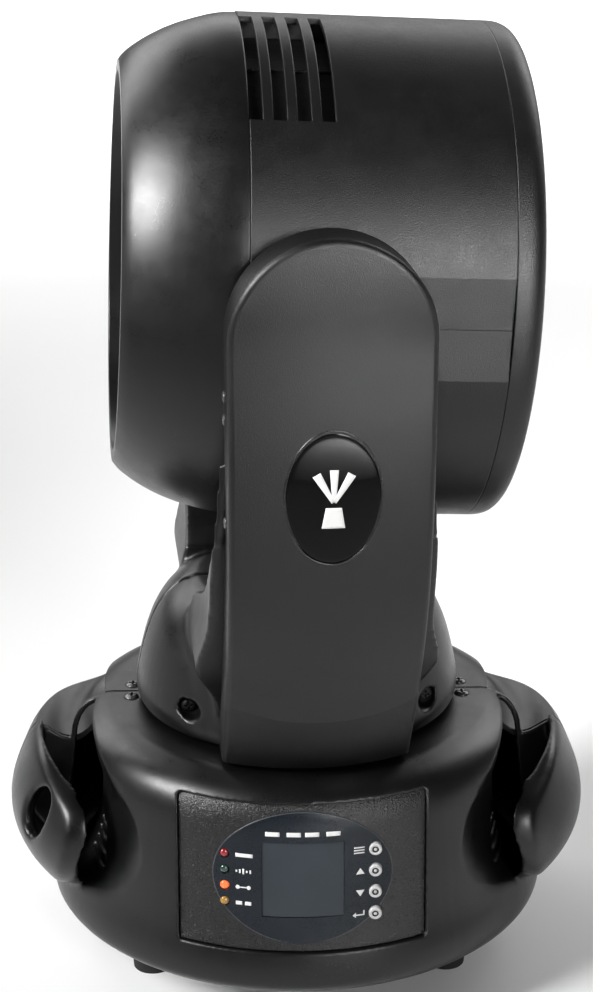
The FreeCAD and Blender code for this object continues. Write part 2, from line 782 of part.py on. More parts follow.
def near_inner_cover():
    bosses = [rod_y(7.0, -62, -0.5, x, 142.5).common(dome_half(0.5)) for x in (-57, 57)]
    cover = join([dome_inner_cover()] + bosses)
    return cut(cover, dome_screw_holes() + [rod_y(2.1, -70, 1, x, 142.5) for x in (-57, 57)])


def dome_screws():
    head = screw_head(3.6, 2.4)
    screws = []
    for x in (-57, 57):
        top = aimed(head, vec(x, -46, 142.5), vec(0, -1, 0))
        screws.append(top.fuse(rod_y(2.0, -46, -1, x, 142.5)))
    return Part.makeCompound(screws)


def yoke_frame():
    """A bent steel strip: two uprights joined across the dome."""
    half = 37.0
    path = [(-122, 381), (-122, 226), (-74, 152), (74, 152), (122, 226), (122, 381)]
    inner = [(119, 381), (119, 227), (72.5, 155), (-72.5, 155), (-119, 227), (-119, 381)]
    corners = [vec(-half, y, z) for y, z in path + inner]
    corners.append(corners[0])
    strip = Part.Face(Part.makePolygon(corners)).extrude(vec(2 * half, 0, 0))
    tops = [rod_y(half, -123, 123, 0, TILT_Z), box(-half, half, -123, 123, 120, TILT_Z)]
    strip = strip.common(join(tops))
    windows = [box(-20, 20, -130, -112, 240, 300), box(-20, 20, 112, 130, 240, 300)]
    holes = [rod_y(AXLE_R, -140, 140, 0, TILT_Z), rod(9.0, 140, 170)]
    return cut(strip, windows + holes)


def pan_shaft():
    body = rod(SHAFT_R, BELT_Z - 3, 149)
    flange = rod(30, 149, 152)
    return body.fuse(flange).cut(rod(9.0, 60, 170))


def pan_pulley():
    wheel = pulley(PAN_PULLEY_R, SHAFT_R, BELT_Z, BELT_Z + PULLEY_W)
    lights = []
    for step in range(6):
        angle = math.radians(60 * step)
        lights.append(rod(7.5, BELT_Z - 1, BELT_Z + PULLEY_W + 1, 30 * math.cos(angle),
                          30 * math.sin(angle)))
    return cut(wheel, lights)


def axle(inner_end, bore):
    """A fixed tilt axle of the near arm, flanged on the inside of the upright."""
    stub = rod_y(AXLE_R, -128, -inner_end, 0, TILT_Z)
    nut = rod_y(15, -128, -122, 0, TILT_Z).cut(rod_y(AXLE_R, -129, -121, 0, TILT_Z))
    return stub.fuse(nut).cut(rod_y(bore, -140, -60, 0, TILT_Z))


def tilt_pulley():
    wheel = pulley(TILT_PULLEY_R, AXLE_R, 86, 94)
    wheel.rotate(ORIGIN, X_AXIS, 90)
    wheel.translate(vec(0, 0, TILT_Z))
    return wheel


def badge():
    oval = Part.Face(Part.Wire([Part.Ellipse(ORIGIN, 30.4, 20.6).toShape()]))
    prism = oval.extrude(vec(0, 0, 40))
    prism.rotate(ORIGIN, Y_AXIS, 90)
    prism.rotate(ORIGIN, Z_AXIS, -90)
    prism.translate(vec(0, -120, BADGE_Z))
    return crowned_block(1.4).common(prism).cut(crowned_block(0))


def arm_screws():
    """Cover screws in the arms' edges, three each side."""
    head = screw_head(2.6, 1.0)
    screws = []
    for side in (-1, 1):
        for z in (318, 308, 262):
            screws.append(aimed(head, vec(side * ARM_HALF, -124, z), vec(side, 0, 0)))
    return screws + [mirror_y(screw) for screw in screws]


def motor_driver_board():
    board = box(-30, 30, 126.4, 128, 255, 320)
    chips = [box(-10, 10, 128, 131, 280, 300), box(-24, -14, 128, 133, 262, 275)]
    posts = [rod_y(2.5, 125, 126.4, x, z) for x in (-26, 26) for z in (250.5 + 8, 316)]
    return join([board] + chips + posts)


# ---- head ---------------------------------------------------------------------------------
def head_ring(points, corners):
    """Spin (length ahead, radius) points about the head's axis; the front is at -X."""
    curve = [vec(-ahead, 0, radius) for ahead, radius in points]
    rest = [vec(-ahead, 0, radius) for ahead, radius in corners]
    return face_between(curve, rest).revolve(ORIGIN, X_AXIS, 360)


def head_disc(radius, front, back):
    return rod_x(radius, -front, -back)


def head_front_cover():
    outer = head_ring(FRONT_PROFILE, [(85.2, 0), (33, 0)])
    inside = shrink([(radius, -ahead) for ahead, radius in FRONT_PROFILE], -HEAD_WALL)
    points = [(-height, radius) for radius, height in inside]
    points = [(SEAM - 1, points[0][1])] + points[1:]
    points = [(min(ahead, 78.0 + index * 0.1), radius)
              for index, (ahead, radius) in enumerate(points)]
    hollow = head_ring(points, [(points[-1][0], 0), (SEAM - 1, 0)])
    shell = outer.cut(hollow)
    mouth = Part.makeCone(RIM_R - 3, RIM_R, 16, vec(-72, 0, 0), vec(-1, 0, 0))
    return shell.cut(mouth)


def drum_half(upper):
    outer = head_disc(DRUM_R, SEAM - GAP, CAP_SEAM + GAP)
    inner = head_disc(DRUM_R - HEAD_WALL, SEAM + 1, CAP_SEAM - 1)
    flat = math.sqrt(DRUM_R ** 2 - FLAT_HALF ** 2)
    sides = []
    for side in (-1, 1):
        reach = sorted((side * flat, side * 130))
        sides.append(box(-50, 100, reach[0], reach[1], -30, 30))
    shell = cut(outer, sides)
    core = cut(inner, [side.copy() for side in sides])
    walls = []
    for side in (-1, 1):
        reach = sorted((side * (flat - HEAD_WALL), side * 130))
        walls.append(box(-50, 100, reach[0], reach[1], -30, 30))
    shell = shell.cut(cut(core, walls))
    shell = cut(shell, [rod_y(AXLE_R + 1.5, -140, 140)] + drum_vents())
    keep = box(-50, 100, -130, 130, 0, 130) if upper else box(-50, 100, -130, 130, -130, 0)
    return shell.common(keep)


def drum_vents():
    slots = []
    for step in range(VENT_COUNT):
        front = SEAM - step * VENT_PITCH
        ring = head_disc(130, front, front - VENT_W).cut(head_disc(90, front + 1, front - 7))
        low = math.radians(VENT_FROM)
        high = math.radians(VENT_TO)
        reach = 150
        corners = [vec(0, 0, 0), vec(0, -reach * math.sin(low), reach * math.cos(low)),
                   vec(0, -reach, reach),
                   vec(0, -reach * math.sin(high), reach * math.cos(high)), vec(0, 0, 0)]
        wedge = Part.Face(Part.makePolygon(corners)).extrude(vec(200, 0, 0))
        wedge.translate(vec(-100, 0, 0))
        slot = ring.common(wedge)
        slots += [slot, mirror_y(slot)]
    return slots + [slot.mirror(ORIGIN, Z_AXIS) for slot in slots]


def head_back_cap():
    outer = head_ring(CAP_PROFILE, [(-93.4, 0), (-80, 0)])
    inner = head_disc(DRUM_R - HEAD_WALL, CAP_SEAM + 1, -90.4)
    shell = outer.cut(inner)
    grille = []
    for step in range(5):
        radius = 12 + step * 8
        ring = head_disc(radius + 4, -85, -95).cut(head_disc(radius, -84, -96))
        spokes = [box(80, 100, -60, 60, -2, 2), box(80, 100, -2, 2, -60, 60)]
        grille.append(cut(ring, spokes))
    return cut(shell, grille)


def lens_places():
    """Three rings of lenses: inner 6, middle 12 and outer 18."""
    places = []
    for count, radius in ((6, 21.0), (12, 45.0), (18, 69.0)):
        for step in range(count):
            angle = 2 * math.pi * step / count
            places.append((radius * math.cos(angle), radius * math.sin(angle)))
    return places


def lens_plate():
    plate = head_disc(84.6, LENS_PLATE_L + 2, LENS_PLATE_L)
    flange = head_disc(92, LENS_PLATE_L, LENS_PLATE_L - 2)
    holes = [rod_x(9.2, -80, -60, y, z) for y, z in lens_places()]
    return cut(plate.fuse(flange), holes)


def lens_array():
    lenses = []
    for y, z in lens_places():
        stem = rod_x(9.0, -(LENS_PLATE_L + 1), -(LENS_PLATE_L - 9), y, z)
        ball = Part.makeSphere(14.0, vec(-(LENS_PLATE_L - 8.5), y, z))
        cap = ball.common(rod_x(9.0, -90, -(LENS_PLATE_L + 0.5), y, z))
        lenses.append(stem.fuse(cap))
    return Part.makeCompound(lenses)


def led_board():
    board = head_disc(84, 54, 52.4)
    chips = [box(-56.4, -54, y - 3, y + 3, z - 3, z + 3) for y, z in lens_places()]
    return join([board] + chips)


def heat_sink():
    base = head_disc(84, 52.4, 46)
    fins = []
    for step in range(-9, 10):
        y = step * 8.0
        reach = math.sqrt(82.0 ** 2 - y ** 2)
        fins.append(box(-46, -22, y - 1, y + 1, -reach, reach))
    return join([base] + fins)


def head_bracket():
    """A steel box frame that carries the head on the axles."""
    sides = [box(-18, 18, -105, -101, -48, 48), box(-18, 18, 101, 105, -48, 48)]
    decks = [box(-18, 18, -105, 105, 45, 48), box(-18, 18, -105, 105, -48, -45)]
    seats = [rod_y(17, -111, -105), rod_y(17, 105, 111)]
    mount = [box(0, 18, -84, -82, -45, 45), box(18, 80, -84, -82, -22, 22)]
    struts = [box(-46, -18, y - 4, y + 4, z - 1.5, z + 1.5)
              for y in (-60, 60) for z in (-46.5, 46.5)]
    frame = join(sides + decks + seats + mount)
    bores = [rod_y(13, -120, -100), rod_y(13, 100, 120), rod_y(11, -90, -80, 58, 0)]
    struts = [strut.cut(box(-46, -22, -90, 90, -90, 90)) for strut in struts]
    inside = head_disc(DRUM_R - HEAD_WALL - 0.5, 60, -90)
    return cut(join([frame] + struts).common(inside), bores)


def tilt_bearing():
    ring = rod_y(13, -111, -102).cut(rod_y(AXLE_R + RUN, -120, -90))
    groove = rod_y(12.2, -112, -110.2).cut(rod_y(11, -113, -109))
    return ring.cut(groove)


def tilt_motor():
    motor = stepper(42, 34, 48)
    motor = motor.cut(rod(3.2, 80, 84))
    motor.rotate(ORIGIN, X_AXIS, 90)
    motor.translate(vec(58, 0, 0))
    return motor


def tilt_motor_pulley():
    wheel = pulley(MOTOR_PULLEY_R, 0, 86, 94).fuse(rod(2.5, 81, 86))
    wheel.rotate(ORIGIN, X_AXIS, 90)
    wheel.translate(vec(58, 0, 0))
    return wheel


def tilt_belt():
    loop = belt_loop(TILT_PULLEY_R, MOTOR_PULLEY_R, 58, 87.3, 92.7, 0.35, 1.2)
    loop.rotate(ORIGIN, X_AXIS, 90)
    return loop


def fan_frame():
    half = FAN_SIDE / 2
    frame = box(54, 79, -half, half, -half, half)
    duct = rod_x(half - 2.5, 50, 90)
    hub = rod_x(19, 54, 57)
    arms = [box(54, 57, -half, half, -3, 3), box(54, 57, -3, 3, -half, half)]
    frame = join([frame.cut(duct), hub] + arms)
    return frame.cut(rod_x(2.5 + RUN, 50, 60))


def fan_rotor():
    hub = rod_x(18, 58, 77)
    shaft = rod_x(2.5, 55, 58)
    blades = []
    for step in range(7):
        blade = box(60, 76, -0.8, 0.8, 17, 42)
        blade.rotate(vec(68, 0, 30), Z_AXIS, 38)
        blade.rotate(ORIGIN, X_AXIS, step * 360.0 / 7)
        blades.append(blade)
    sweep = rod_x(42, 58.5, 77.5)
    return join([hub, shaft] + [blade.common(sweep) for blade in blades])


def head_screws():
    """Screws of the back cap and of the front ring."""
    head = screw_head(3.0, 1.6)
    screws = []
    for step in range(6):
        angle = math.radians(30 + 60 * step)
        y = math.cos(angle)
        z = math.sin(angle)
        screws.append(aimed(head, vec(93.4, 100 * y, 100 * z), X_AXIS))
    return Part.makeCompound(screws)


def driver_board():
    board = box(26, 27.6, -40, 84, -42, 42)
    chips = [box(27.6, 36, 20, 44, -30, -8), box(27.6, 31, -20, 10, 5, 30),
             rod_x(6, 27.6, 44, 62, 20), rod_x(6, 27.6, 44, 62, 2)]
    return join([board] + chips)


# ---- all nodes ----------------------------------------------------------------------------
def build_base():
    seats = base_screw_seats()
    save("base_front_shell", cut(base_front_shell(), seats))
    save("base_rear_shell", cut(base_rear_shell(), seats))
    save("base_bottom_plate", base_bottom_plate())
    save("rubber_feet", rubber_feet())
    save("control_panel_plate", control_panel_plate())
    save("panel_overlay", panel_overlay())
    save("lcd_window", lcd_window())
    save("status_leds", status_leds())
    save("display_board", display_board())
    save("connector_panel", connector_panel())
    save("power_inlet", power_inlet())
    save("fuse_holder", fuse_holder())
    save("data_inputs", data_sockets(True))
    save("data_outputs", data_sockets(False))
    save("base_deck", base_deck())
    save("pan_bearing", pan_bearing())
    save("pan_motor", pan_motor())
    save("pan_motor_mount", pan_motor_mount())
    save("pan_belt", pan_belt())
    save("power_supply", power_supply())
    save("main_board", main_board())
    save("base_screws", Part.makeCompound(base_screws()))
    save("pan_motor_pulley", pan_motor_pulley())
    for name, z in zip(("menu", "up", "down", "enter"), button_heights()):
        save(name + "_button", button(z))


def build_yoke():
    save("yoke_frame", in_yoke(yoke_frame()))
    save("pan_shaft", in_yoke(pan_shaft()))
    save("pan_pulley", in_yoke(pan_pulley()))
    save("yoke_cover_near", in_yoke(near_inner_cover()))
    save("yoke_cover_far", in_yoke(mirror_y(dome_inner_cover())))
    save("arm_cover_near", in_yoke(arm_cover()))
    save("arm_cover_far", in_yoke(mirror_y(arm_cover())))
    save("badge_near", in_yoke(badge()))
    save("badge_far", in_yoke(mirror_y(badge())))
    save("tilt_axle_near", in_yoke(axle(85.0, 3.0)))
    save("tilt_axle_far", in_yoke(mirror_y(axle(96.0, 6.0))))
    save("tilt_pulley", in_yoke(tilt_pulley()))
    save("dome_screws", in_yoke(dome_screws()))
    save("arm_screws", in_yoke(Part.makeCompound(arm_screws())))
    save("motor_driver_board", in_yoke(motor_driver_board()))


def build_head():
    save("head_front_cover", in_head(head_front_cover()))
    save("head_upper_shell", in_head(drum_half(True)))
    save("head_lower_shell", in_head(drum_half(False)))
    save("head_back_cap", in_head(head_back_cap()))
    save("lens_plate", in_head(lens_plate()))
    save("lens_array", in_head(lens_array()))
    save("led_board", in_head(led_board()))
    save("heat_sink", in_head(heat_sink()))
    save("head_bracket", in_head(head_bracket()))
    save("tilt_bearing_near", in_head(tilt_bearing()))
    save("tilt_bearing_far", in_head(mirror_y(tilt_bearing())))
    save("tilt_motor", in_head(tilt_motor()))
    save("tilt_belt", in_head(tilt_belt()))
    save("fan_frame", in_head(fan_frame()))
    save("driver_board", in_head(driver_board()))
    save("head_screws", in_head(head_screws()))
    save("tilt_motor_pulley", in_head(tilt_motor_pulley()))
    save("fan_rotor", in_head(fan_rotor()))


os.makedirs("parts", exist_ok=True)
build_base()
build_yoke()
build_head()
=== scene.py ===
import json
import math

import bmesh
import bpy
from mathutils import Matrix, Vector
from mathutils.bvhtree import BVHTree


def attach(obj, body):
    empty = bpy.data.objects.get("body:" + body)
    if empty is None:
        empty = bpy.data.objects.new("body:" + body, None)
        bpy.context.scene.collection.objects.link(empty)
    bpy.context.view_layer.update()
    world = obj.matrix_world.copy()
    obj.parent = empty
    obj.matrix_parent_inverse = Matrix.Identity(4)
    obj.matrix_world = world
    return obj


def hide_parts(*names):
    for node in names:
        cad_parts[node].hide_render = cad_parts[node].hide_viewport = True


# The looks of a moving head wash light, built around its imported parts. Metres, +Z up.
# The yoke and the head are drawn square to the axes and then turned to their rest pose.

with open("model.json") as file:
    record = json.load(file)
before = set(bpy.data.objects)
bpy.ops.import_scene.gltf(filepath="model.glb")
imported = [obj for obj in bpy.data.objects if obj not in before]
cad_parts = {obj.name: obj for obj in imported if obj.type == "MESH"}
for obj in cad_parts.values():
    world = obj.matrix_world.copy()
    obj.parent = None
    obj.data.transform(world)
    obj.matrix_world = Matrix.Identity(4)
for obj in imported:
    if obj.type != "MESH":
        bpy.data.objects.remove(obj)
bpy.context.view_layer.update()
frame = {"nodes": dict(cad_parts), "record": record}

# How far the photo shows the yoke panned and the head tilted up, and the tilt axis' height.
YOKE_PAN = math.radians(4.8)
HEAD_TILT = math.radians(2.8)
TILT_Z = 0.3435
IN_YOKE = Matrix.Rotation(YOKE_PAN, 4, "Z")
IN_HEAD = IN_YOKE @ Matrix.Translation((0, 0, TILT_Z)) @ Matrix.Rotation(HEAD_TILT, 4, "Y")
MM = 0.001
MARK_THICK = 0.2


# ---- materials ------------------------------------------------------------------------------
class Nodes:
    """A material's node tree, with short ways to add and join nodes."""

    def __init__(self, name):
        self.material = bpy.data.materials.new(name)
        self.material.use_nodes = True
        self.tree = self.material.node_tree
        self.shader = self.tree.nodes["Principled BSDF"]

    def add(self, kind, **values):
        node = self.tree.nodes.new(kind)
        for key, value in values.items():
            setattr(node, key, value)
        return node

    def link(self, out, into):
        self.tree.links.new(out, into)


def place(nodes):
    """Where a point is on the object, in metres."""
    return nodes.add("ShaderNodeTexCoord").outputs["Object"]


def ramp_between(nodes, value, low, high, from_low=0.3, from_high=0.7):
    """A value spread between two limits."""
    spread = nodes.add("ShaderNodeMapRange")
    nodes.link(value, spread.inputs["Value"])
    spread.inputs["From Min"].default_value = from_low
    spread.inputs["From Max"].default_value = from_high
    spread.inputs["To Min"].default_value = low
    spread.inputs["To Max"].default_value = high
    return spread.outputs["Result"]


def noise(nodes, where, scale, detail=2.0, rough=0.5):
    """Soft noise; scale is in cells per metre."""
    texture = nodes.add("ShaderNodeTexNoise")
    nodes.link(where, texture.inputs["Vector"])
    texture.inputs["Scale"].default_value = scale
    texture.inputs["Detail"].default_value = detail
    texture.inputs["Roughness"].default_value = rough
    return texture.outputs["Fac"]


def bumped(nodes, height, strength, distance, normal):
    """A normal with a height pattern laid over it."""
    bump = nodes.add("ShaderNodeBump")
    bump.inputs["Strength"].default_value = strength
    bump.inputs["Distance"].default_value = distance
    nodes.link(height, bump.inputs["Height"])
    nodes.link(normal, bump.inputs["Normal"])
    return bump.outputs["Normal"]


COAT_ROUGH = 0.04
LEAST_ROUGH = 0.03
BROAD_SCALE = 18.0
CLOUDY_SCALE = 70.0
BEVEL_SAMPLES = 6
# How alike the bevelled and the true normal are: edge fully painted lighter at the first, flat at
# the second. The lighter edge is partly wear and partly a painted highlight.
WEAR_AND_HIGHLIGHT_BELOW, FLAT_ABOVE = 0.80, 0.985
# How much lighter the edges are painted: partly worn plastic, partly a painted edge highlight.
WEAR_AND_HIGHLIGHT_GAIN, WEAR_AND_HIGHLIGHT_LIFT = 2.2, 0.003
# Depth of grain and pits, as a share of the grain's size.
GRAIN_DEPTH, PIT_DEPTH = 0.35, 0.4


def finish_material(name, colour, rough, spread=0.05, grain=0.0, grain_size=0.0006, pits=0.0,
                    edge=0.0006, wear_and_highlight=0.35, metallic=0.0, specular=0.5, coat=0.0,
                    colour_drift=0.25, smudge=0.04):
    """A moulded, painted or turned surface: colour drift, grain, smudges, and edges painted
    lighter, partly as wear and partly as a painted highlight.
    """
    nodes = Nodes(name)
    where = place(nodes)
    shader = nodes.shader
    shader.inputs["Metallic"].default_value = metallic
    shader.inputs["Specular IOR Level"].default_value = specular
    if coat:
        shader.inputs["Coat Weight"].default_value = coat
        shader.inputs["Coat Roughness"].default_value = COAT_ROUGH

    broad = noise(nodes, where, BROAD_SCALE, 3.0)
    fine = noise(nodes, where, 1.0 / grain_size, 2.0, 0.6)
    cloudy = noise(nodes, where, CLOUDY_SCALE, 4.0, 0.65)

    tint = nodes.add("ShaderNodeMix", data_type="RGBA")
    dark = [c * (1 - colour_drift) for c in colour]
    light = [min(1, c * (1 + colour_drift)) for c in colour]
    tint.inputs["A"].default_value = (*dark, 1)
    tint.inputs["B"].default_value = (*light, 1)
    nodes.link(ramp_between(nodes, broad, 0.0, 1.0), tint.inputs["Factor"])

    bevel = nodes.add("ShaderNodeBevel", samples=BEVEL_SAMPLES)
    bevel.inputs["Radius"].default_value = edge
    geometry = nodes.add("ShaderNodeNewGeometry")
    facing = nodes.add("ShaderNodeVectorMath", operation="DOT_PRODUCT")
    nodes.link(bevel.outputs["Normal"], facing.inputs[0])
    nodes.link(geometry.outputs["Normal"], facing.inputs[1])
    # Edges painted lighter in patches: partly wear, partly a painted edge highlight.
    rubbed_and_highlit = ramp_between(nodes, facing.outputs["Value"], wear_and_highlight, 0.0, WEAR_AND_HIGHLIGHT_BELOW, FLAT_ABOVE)
    patchy_wear_and_highlight = nodes.add("ShaderNodeMath", operation="MULTIPLY")
    nodes.link(rubbed_and_highlit, patchy_wear_and_highlight.inputs[0])
    nodes.link(ramp_between(nodes, cloudy, 0.25, 1.0), patchy_wear_and_highlight.inputs[1])
    wear_and_highlight_mix = nodes.add("ShaderNodeMix", data_type="RGBA")
    wear_and_highlight_colour = [min(1, c * WEAR_AND_HIGHLIGHT_GAIN + WEAR_AND_HIGHLIGHT_LIFT) for c in colour]
    wear_and_highlight_mix.inputs["B"].default_value = (*wear_and_highlight_colour, 1)
    nodes.link(patchy_wear_and_highlight.outputs["Value"], wear_and_highlight_mix.inputs["Factor"])
    nodes.link(tint.outputs["Result"], wear_and_highlight_mix.inputs["A"])
    nodes.link(wear_and_highlight_mix.outputs["Result"], shader.inputs["Base Color"])

    low = max(LEAST_ROUGH, rough - spread)
    high = min(1.0, rough + spread)
    gloss = nodes.add("ShaderNodeMath", operation="ADD")
    nodes.link(ramp_between(nodes, fine, low, high), gloss.inputs[0])
    nodes.link(ramp_between(nodes, cloudy, -smudge, smudge), gloss.inputs[1])
    nodes.link(gloss.outputs["Value"], shader.inputs["Roughness"])

    normal = bevel.outputs["Normal"]
    if grain:
        normal = bumped(nodes, fine, min(1.0, grain), grain_size * GRAIN_DEPTH, normal)
    if pits:
        cells = nodes.add("ShaderNodeTexVoronoi")
        nodes.link(where, cells.inputs["Vector"])
        cells.inputs["Scale"].default_value = 1.0 / grain_size
        normal = bumped(nodes, cells.outputs["Distance"], pits, grain_size * PIT_DEPTH, normal)
    nodes.link(normal, shader.inputs["Normal"])
    return nodes.material


MATERIALS = {
    "shell_plastic": finish_material("shell_plastic", (0.0019, 0.0020, 0.0022), 0.40, 0.09,
                                     grain=0.55, grain_size=0.0005, pits=0.2, edge=0.0008,
                                     specular=0.42),
    "satin_plastic": finish_material("satin_plastic", (0.0018, 0.0019, 0.0021), 0.34, 0.06,
                                     grain=0.22, grain_size=0.0005, edge=0.0011,
                                     specular=0.42),
    "dark_plastic": finish_material("dark_plastic", (0.004, 0.004, 0.0043), 0.5, grain=0.4,
                                    specular=0.3),
    "overlay_film": finish_material("overlay_film", (0.0065, 0.0095, 0.0135), 0.30, grain=0.2,
                                    edge=0.0003, specular=0.3),
    "lcd_glass": finish_material("lcd_glass", (0.021, 0.027, 0.033), 0.14, 0.02, edge=0.0003,
                                 coat=0.2, specular=0.25),
    "lamp_lens": finish_material("lamp_lens", (0.35, 0.05, 0.03), 0.2, edge=0.0004, coat=0.5),
    "button_cap": finish_material("button_cap", (0.42, 0.42, 0.42), 0.25, edge=0.0004),
    "badge_dome": finish_material("badge_dome", (0.002, 0.002, 0.0022), 0.10, 0.02,
                                  specular=0.10, coat=0.12),
    "screw_steel": finish_material("screw_steel", (0.16, 0.16, 0.165), 0.38, metallic=1.0,
                                   edge=0.0003),
    "steel_frame": finish_material("steel_frame", (0.05, 0.05, 0.055), 0.5, grain=0.6),
    "bright_steel": finish_material("bright_steel", (0.34, 0.34, 0.35), 0.3, metallic=1.0),
    "aluminium": finish_material("aluminium", (0.30, 0.30, 0.31), 0.42, metallic=1.0, grain=0.2),
    "plate_paint": finish_material("plate_paint", (0.025, 0.025, 0.027), 0.55, grain=0.8,
                                   grain_size=0.0015),
    "rubber": finish_material("rubber", (0.014, 0.014, 0.014), 0.75, grain=0.5, specular=0.3),
    "belt_rubber": finish_material("belt_rubber", (0.02, 0.02, 0.02), 0.8, grain=0.5),
    "circuit_board": finish_material("circuit_board", (0.01, 0.09, 0.035), 0.35),
    "white_board": finish_material("white_board", (0.25, 0.25, 0.25), 0.4),
    "optic": finish_material("optic", (0.10, 0.108, 0.12), 0.07, 0.02, edge=0.0003,
                             specular=0.6, coat=0.6),
    "lens_plate": finish_material("lens_plate", (0.008, 0.008, 0.009), 0.5, grain=0.4),
    "motor_black": finish_material("motor_black", (0.03, 0.03, 0.033), 0.45, grain=0.4),
    "socket_metal": finish_material("socket_metal", (0.22, 0.22, 0.23), 0.38, metallic=1.0),
    "panel_grain": finish_material("panel_grain", (0.0045, 0.0045, 0.0048), 0.36, 0.12,
                                   grain=1.0, grain_size=0.0008, pits=0.5, edge=0.0005),
    "lens_rim": finish_material("lens_rim", (0.02, 0.02, 0.021), 0.3, edge=0.0004),
    "rim_black": finish_material("rim_black", (0.006, 0.006, 0.0065), 0.25, edge=0.0002),
    "print_white": finish_material("print_white", (0.62, 0.62, 0.61), 0.4, edge=0.00005,
                                   colour_drift=0.04),
    "film_edge": finish_material("film_edge", (0.05, 0.055, 0.06), 0.35, edge=0.0001),
    "lamp_red": finish_material("lamp_red", (0.22, 0.008, 0.010), 0.15, coat=0.8),
    "lamp_green": finish_material("lamp_green", (0.015, 0.04, 0.03), 0.15, coat=0.8),
    "lamp_orange": finish_material("lamp_orange", (0.80, 0.10, 0.025), 0.2, coat=0.5),
    "lamp_amber": finish_material("lamp_amber", (0.34, 0.18, 0.03), 0.15, coat=0.8),
}
# The third status lamp is on.
LIT = MATERIALS["lamp_orange"].node_tree.nodes["Principled BSDF"]
LIT.inputs["Emission Color"].default_value = (1.0, 0.16, 0.04, 1)
LIT.inputs["Emission Strength"].default_value = 0.9

SLOT_OF = {part["node"]: part["material_slot"] for part in frame["record"]["subparts"]}
for node, item in frame["nodes"].items():
    item.data.materials.clear()
    item.data.materials.append(MATERIALS[SLOT_OF[node]])
frame["nodes"]["control_panel_plate"].data.materials[0] = MATERIALS["panel_grain"]
frame["nodes"]["dome_screws"].data.materials[0] = MATERIALS["dark_plastic"]


# ---- mesh helpers ---------------------------------------------------------------------------
# The near arm's outer face: height, reach from the pan axis and crown, in millimetres.
ARM_HALF = 43.8
ARM_FACE = [(126, 104.5, 6.0), (148, 108.6, 6.0), (162, 111.9, 5.8), (174, 115.6, 5.4),
            (191, 122.8, 4.7), (208, 129.2, 3.9), (228, 134.6, 3.3), (248, 138.2, 3.2),
            (285, 142.0, 3.2), (320, 142.8, 3.2), (343.5, 142.5, 3.2), (392, 141.6, 3.2)]
BADGE_Z = 277.0
BADGE_HALF = 20.6
BADGE_TALL = 30.4
# The base's skin: radius and height, in millimetres.
BASE_PROFILE = [(124.6, 37), (121.6, 50), (117.6, 75), (114.4, 100), (112.2, 112), (107.5, 120)]
PANEL_SINK = 1.6
LED_X = -36.0
LED_HEIGHTS = [93.4 - 7.7 * step for step in range(4)]
BUTTON_X = 33.5
BUTTON_HEIGHTS = [95.4 - 10.3 * step for step in range(4)]
OVERLAY_HALF = 41.7
OVERLAY_TALL = 31.4
OVERLAY_Z = 83.5


def between(rows, at, key, value):
    """Straight-line value from a table, at a place along its key column."""
    for before, after in zip(rows[:-1], rows[1:]):
        if before[key] <= at <= after[key] or after is rows[-1]:
            share = (at - before[key]) / (after[key] - before[key])
            return before[value] + share * (after[value] - before[value])


def arm_y(x, z):
    """How far out the near arm's crowned face stands at a place."""
    return between(ARM_FACE, z, 0, 1) - between(ARM_FACE, z, 0, 2) * (x / ARM_HALF) ** 2


def panel_y(x, z, sink):
    """Where the control panel's face stands at a place, sunk below the base's skin."""
    radius = between(BASE_PROFILE, z, 1, 0) - sink
    return -math.sqrt(radius * radius - x * x)


FILM = BVHTree.FromObject(frame["nodes"]["panel_overlay"],
                          bpy.context.evaluated_depsgraph_get())


def film_y(x, z, lift):
    """Where the panel's film stands at a place, and a little in front of it."""
    hit = FILM.ray_cast(Vector((x * MM, -0.2, z * MM)), Vector((0, 1, 0)))[0]
    return (hit.y / MM if hit else panel_y(x, z, PANEL_SINK - 0.5)) - lift


def piece(name, verts, faces, material, body, replaces=(), turn=None, smooth=True,
          also=(), picks=None, thick=0.0):
    """A mesh from millimetre points, placed, given its material and put on its body."""
    mesh = bpy.data.meshes.new(name)
    mesh.from_pydata([tuple(MM * c for c in v) for v in verts], [], faces)
    if turn is not None:
        mesh.transform(turn)
    mesh.validate()
    mesh.materials.append(material)
    for other in also:
        mesh.materials.append(other)
    if picks:
        for polygon, pick in zip(mesh.polygons, picks):
            polygon.material_index = pick
    if smooth:
        mesh.shade_smooth()
    item = bpy.data.objects.new(name, mesh)
    bpy.context.scene.collection.objects.link(item)
    if thick:
        back = item.modifiers.new("back", "SOLIDIFY")
        back.thickness = thick * MM
        back.offset = -1.0
    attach(item, body)
    if replaces:
        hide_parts(*replaces)
    return item


def grid_faces(rows, columns, closed=False, start=0):
    """The faces of a grid of points in rows; closed joins each row's ends."""
    faces = []
    last = columns if closed else columns - 1
    for row in range(rows - 1):
        for column in range(last):
            after = (column + 1) % columns
            faces.append((start + row * columns + column, start + row * columns + after,
                          start + (row + 1) * columns + after,
                          start + (row + 1) * columns + column))
    return faces


def spun(outline, steps):
    """Points and side faces of an outline of (radius, along) spun about +Z."""
    verts = []
    for radius, along in outline:
        for step in range(steps):
            angle = 2 * math.pi * step / steps
            verts.append((radius * math.cos(angle), radius * math.sin(angle), along))
    return verts, grid_faces(len(outline), steps, closed=True)


def lathe(outline, steps):
    """A spun outline with a face over each end."""
    verts, faces = spun(outline, steps)
    last = (len(outline) - 1) * steps
    faces.append(tuple(reversed(range(steps))))
    faces.append(tuple(range(last, last + steps)))
    return verts, faces


def ring_lathe(outline, steps):
    """A spun outline whose last point joins its first, as in a ring."""
    verts, faces = spun(outline, steps)
    last = (len(outline) - 1) * steps
    for step in range(steps):
        after = (step + 1) % steps
        faces.append((last + step, last + after, after, step))
    return verts, faces


